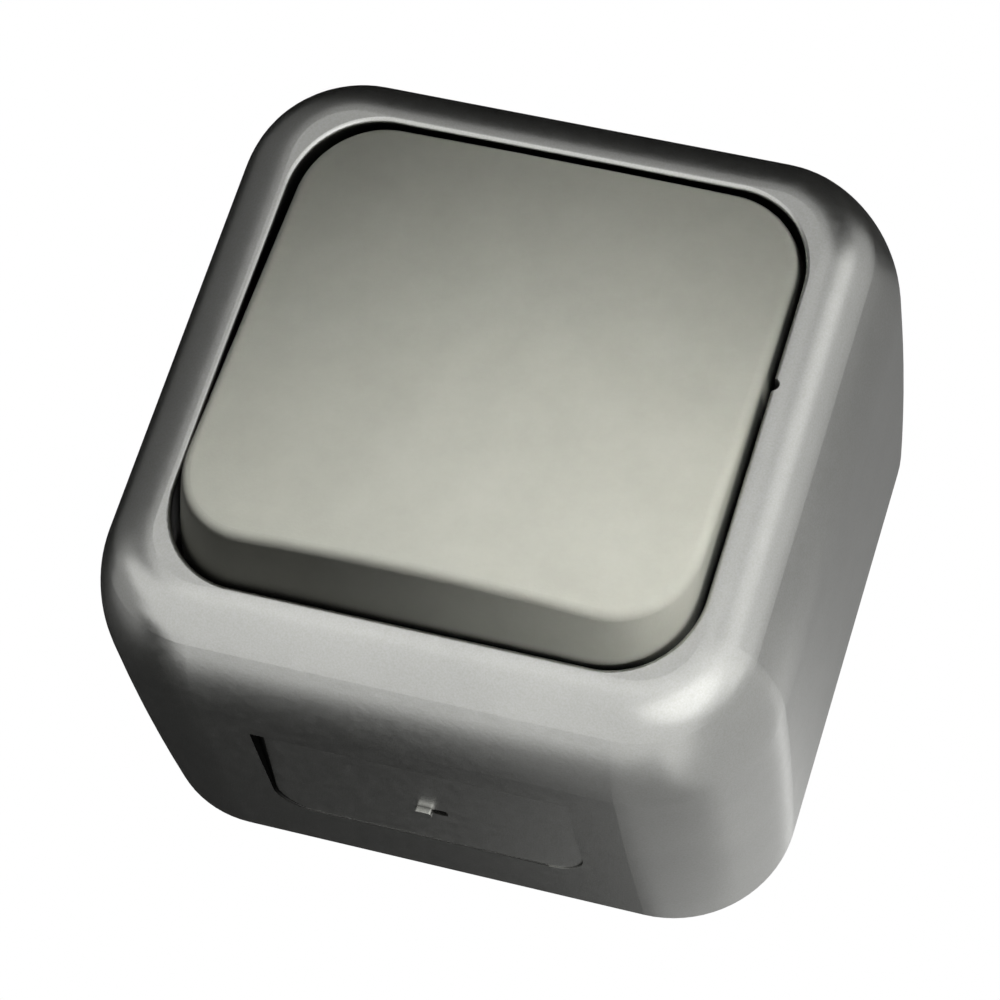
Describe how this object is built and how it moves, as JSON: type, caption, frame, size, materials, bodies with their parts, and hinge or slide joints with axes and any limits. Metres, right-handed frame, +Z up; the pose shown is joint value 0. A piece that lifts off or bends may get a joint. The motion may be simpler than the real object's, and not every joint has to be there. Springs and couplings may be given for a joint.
{
  "type": "surface mounted light switch",
  "caption": "Surface mounted light switch: rounded silver-grey housing round a large warm grey rocker, with a snap-action contact mechanism on a wall base plate.",
  "frame": {"origin": "on the wall plane, midway between the two wall screws, at the middle of the housing's back", "axes": "+X to the right seen from the front, +Z up the wall, -Y out of the wall towards the user"},
  "size_m": [0.068, 0.0469, 0.068],
  "materials": {
    "cover_plastic": "satin silver-grey metallic paint on moulded plastic",
    "rocker_plastic": "fine matt warm grey moulded plastic",
    "carrier_plastic": "natural white moulded plastic",
    "plunger_plastic": "smooth slippery off-white plastic",
    "spring_steel": "drawn spring wire",
    "contact_copper": "stamped copper alloy",
    "contact_silver": "silver alloy contact rivet",
    "terminal_brass": "stamped brass",
    "plated_steel": "zinc-plated steel",
    "body_plastic": "dark grey moulded thermoset",
    "lid_plastic": "light grey moulded plastic",
    "base_plastic": "grey moulded plastic"
  },
  "bodies": {
    "housing": {"cover": "cover_plastic", "base_plate": "base_plastic", "mechanism_body": "body_plastic", "mechanism_lid": "lid_plastic", "common_terminal": "terminal_brass", "load_terminal": "terminal_brass", "fixed_contact": "contact_silver", "common_rivet": "terminal_brass", "load_rivet": "terminal_brass", "common_screw": "plated_steel", "load_screw": "plated_steel", "common_clamp": "plated_steel", "load_clamp": "plated_steel", "fixing_screw_left": "plated_steel", "fixing_screw_right": "plated_steel"},
    "rocker": {"rocker": "rocker_plastic", "rocker_carrier": "carrier_plastic", "plunger_spring": "spring_steel"},
    "plunger": {"plunger": "plunger_plastic"},
    "contact_lever": {"contact_lever": "contact_copper", "moving_contact": "contact_silver"}
  },
  "joints": [
    {"name": "rocker_hinge", "type": "hinge", "parent": "housing", "child": "rocker", "pos_m": [0, -0.0311, 0], "axis": [1, 0, 0], "range_deg": [0, 12]},
    {"name": "lever_hinge", "type": "hinge", "parent": "housing", "child": "contact_lever", "pos_m": [0, -0.013, 0], "axis": [1, 0, 0], "range_deg": [-14, 0]},
    {"name": "plunger_slide", "type": "slide", "parent": "rocker", "child": "plunger", "axis": [0, -0.9945, 0.1045], "range_m": [0, 0.001], "stiffness_N_per_m": 300, "springref_m": -0.002, "deforming": ["plunger_spring"]}
  ],
  "couplings": [
    {"joint": "lever_hinge", "follows": "rocker_hinge", "ratio": -1.1666}
  ]
}
